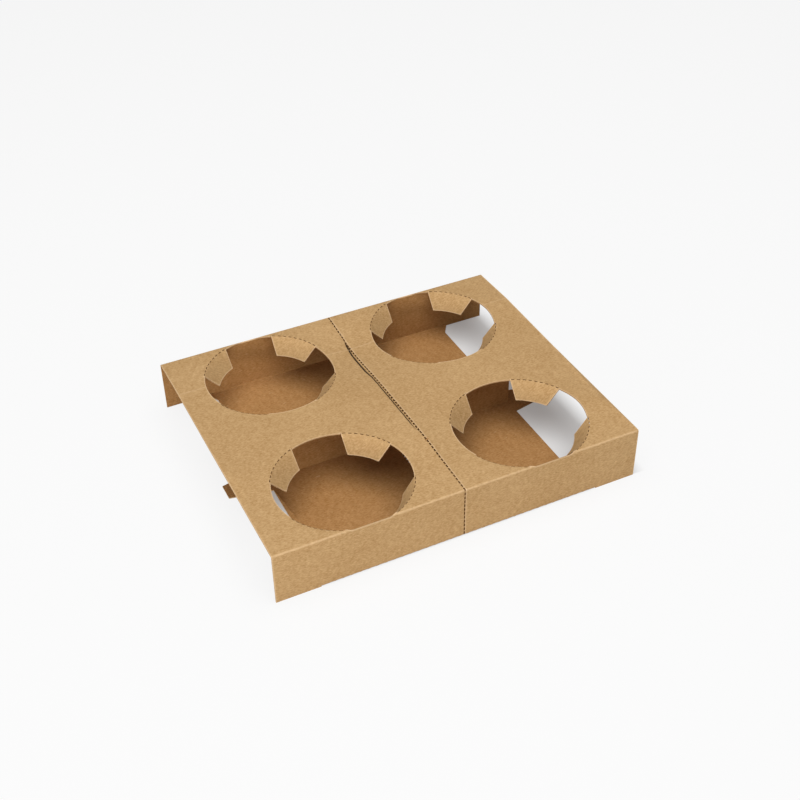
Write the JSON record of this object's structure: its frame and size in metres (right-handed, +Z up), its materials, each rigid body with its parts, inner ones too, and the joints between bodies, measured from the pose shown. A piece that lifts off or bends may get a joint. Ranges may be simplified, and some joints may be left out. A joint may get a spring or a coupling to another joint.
{
  "type": "cup carrier",
  "caption": "Folded kraft board carrier that holds takeaway cups or bowls in round holes with bent tabs, above a floor with a middle partition.",
  "frame": {"origin": "middle of the carrier, on the surface that it stands on", "axes": "+X along the front fold from left to right, +Y from the front wall to the back wall, +Z up"},
  "size_m": [0.24, 0.199, 0.036],
  "materials": {
    "kraft_board": "matt unbleached kraft board with fine fibres"
  },
  "bodies": {
    "root": {"carrier": "kraft_board"}
  },
  "joints": []
}
